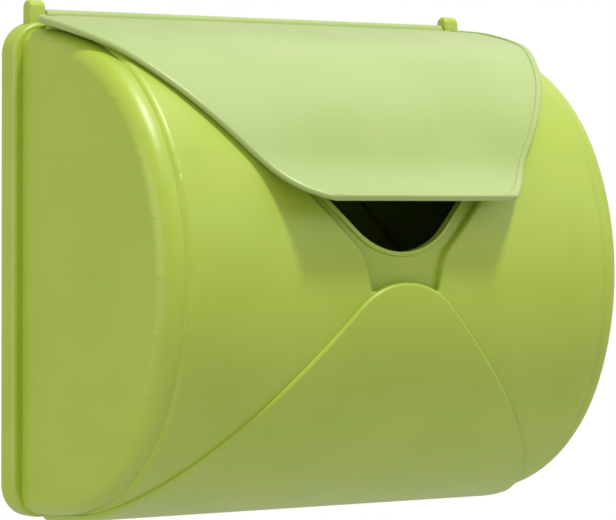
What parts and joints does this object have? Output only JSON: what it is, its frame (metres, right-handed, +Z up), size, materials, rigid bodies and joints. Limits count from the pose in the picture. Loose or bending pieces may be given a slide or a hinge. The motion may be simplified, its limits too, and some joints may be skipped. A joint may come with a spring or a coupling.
{
  "type": "wall mounted mailbox",
  "caption": "Moulded plastic wall mailbox shaped like an envelope on a half-drum, with a hinged top flap over a V-shaped mouth and a screw-on back plate.",
  "frame": {"origin": "centre of the rectangle of four wall screw holes, on the wall plane at the back of the back plate", "axes": "+X along the wall to the viewer's right, +Y into the wall, the front faces -Y, +Z up"},
  "size_m": [0.29, 0.1478, 0.253],
  "materials": {
    "body_plastic": "satin moulded",
    "lid_plastic": "satin moulded",
    "steel": "zinc plated"
  },
  "bodies": {
    "box": {"back_plate": "body_plastic", "front_shell": "body_plastic", "shell_screws": "steel"},
    "lid": {"lid": "lid_plastic", "hinge_pin_left": "steel", "hinge_pin_right": "steel"}
  },
  "joints": [
    {"name": "lid_hinge", "type": "hinge", "parent": "box", "child": "lid", "pos_m": [0, -0.0046, 0.1236], "axis": [-1, 0, 0], "range_deg": [0, 95]}
  ]
}
